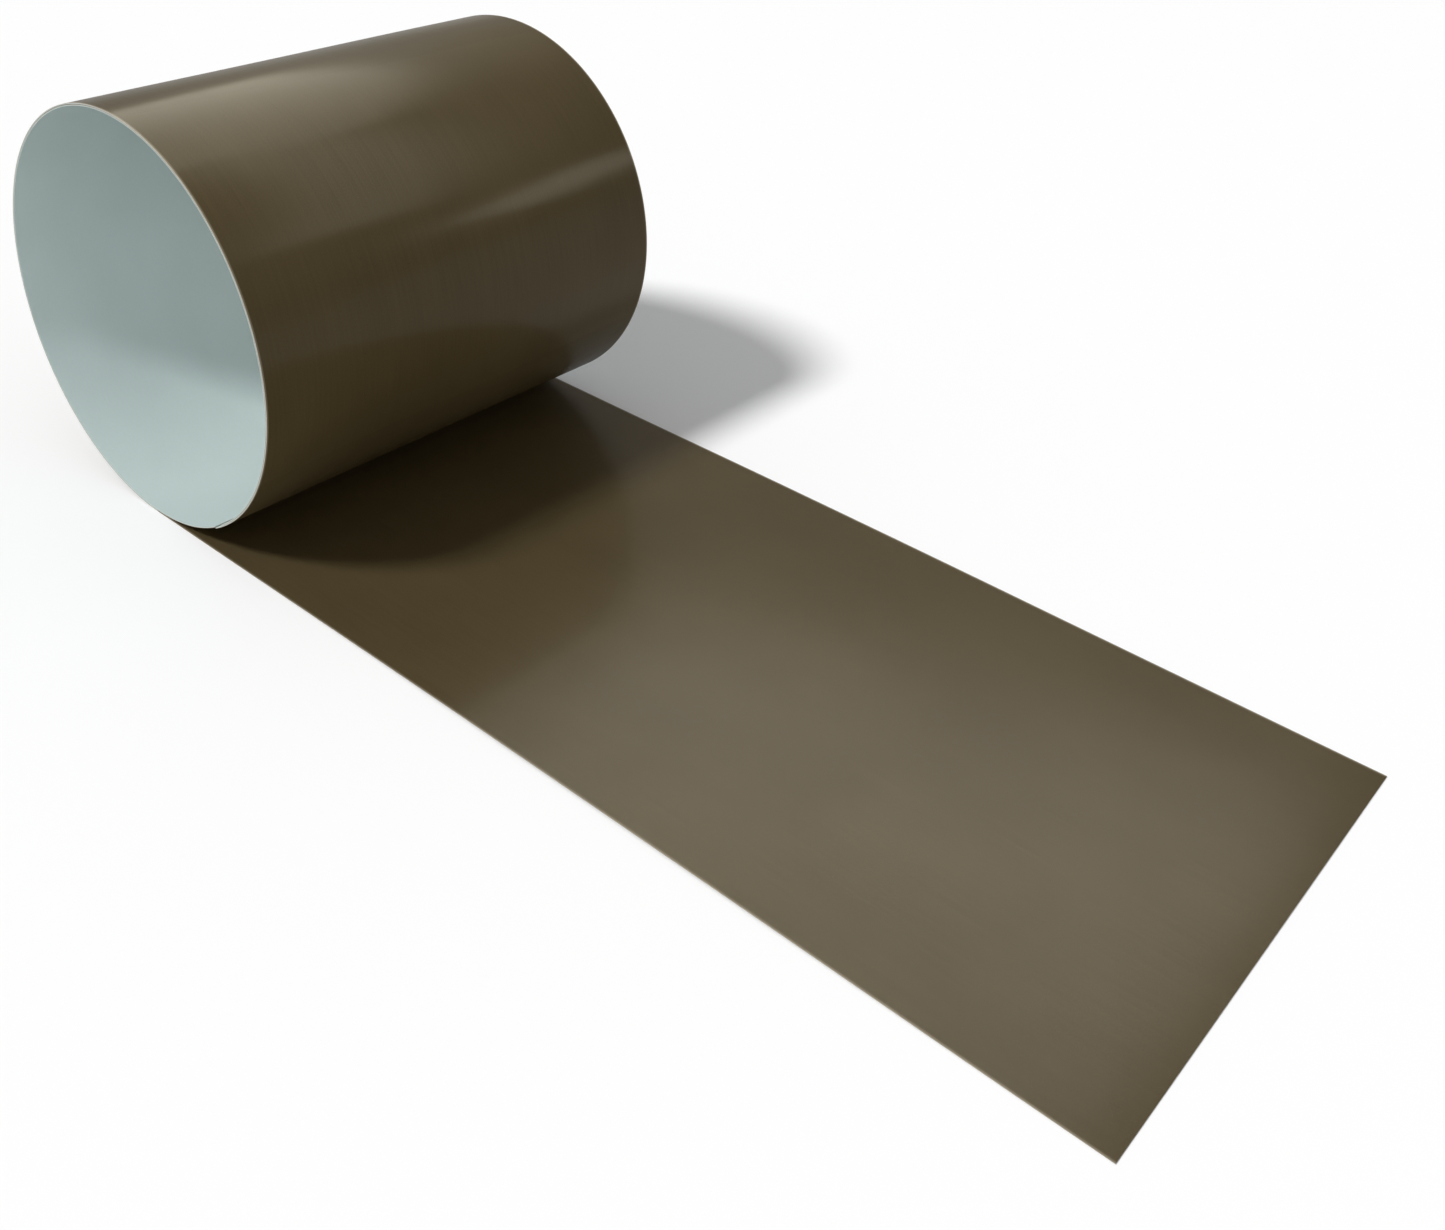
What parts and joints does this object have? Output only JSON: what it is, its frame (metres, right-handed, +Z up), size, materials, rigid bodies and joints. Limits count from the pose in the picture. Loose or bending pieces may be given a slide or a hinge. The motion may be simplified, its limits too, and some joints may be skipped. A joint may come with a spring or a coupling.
{
  "type": "foil tape roll",
  "caption": "Short wide roll of thin foil tape lying on its side, foil outside and pale release liner inside, with its tail laid out flat and square-cut.",
  "frame": {"origin": "on the bench, under the middle of the whole object's box", "axes": "+X along the laid tail towards its free end, +Y along the roll's axis, +Z up"},
  "size_m": [0.2356, 0.09, 0.077],
  "materials": {
    "foil": "satin, dark bronze patina",
    "adhesive": "clear, semi-gloss",
    "liner": "coated, matte to satin"
  },
  "bodies": {
    "tail": {"foil_tail": "foil", "adhesive_tail": "adhesive"},
    "outer_turn": {"foil_outer_turn": "foil", "adhesive_outer_turn": "adhesive", "liner_outer_turn": "liner"},
    "inner_turn": {"foil_inner_turn": "foil", "adhesive_inner_turn": "adhesive", "liner_inner_turn": "liner"}
  },
  "joints": [
    {"name": "roll_travel", "type": "slide", "parent": "tail", "child": "outer_turn", "axis": [1, 0, 0], "range_m": [0, 0.177], "deforming": ["foil_tail", "adhesive_tail"]},
    {"name": "inner_turn_spin", "type": "hinge", "parent": "outer_turn", "child": "inner_turn", "pos_m": [-0.07924, 0, 0.03851], "axis": [0, 1, 0], "range_deg": [0, 263.5]}
  ],
  "couplings": [
    {"joint": "inner_turn_spin", "follows": "roll_travel", "rad_per_m": 25.967}
  ]
}
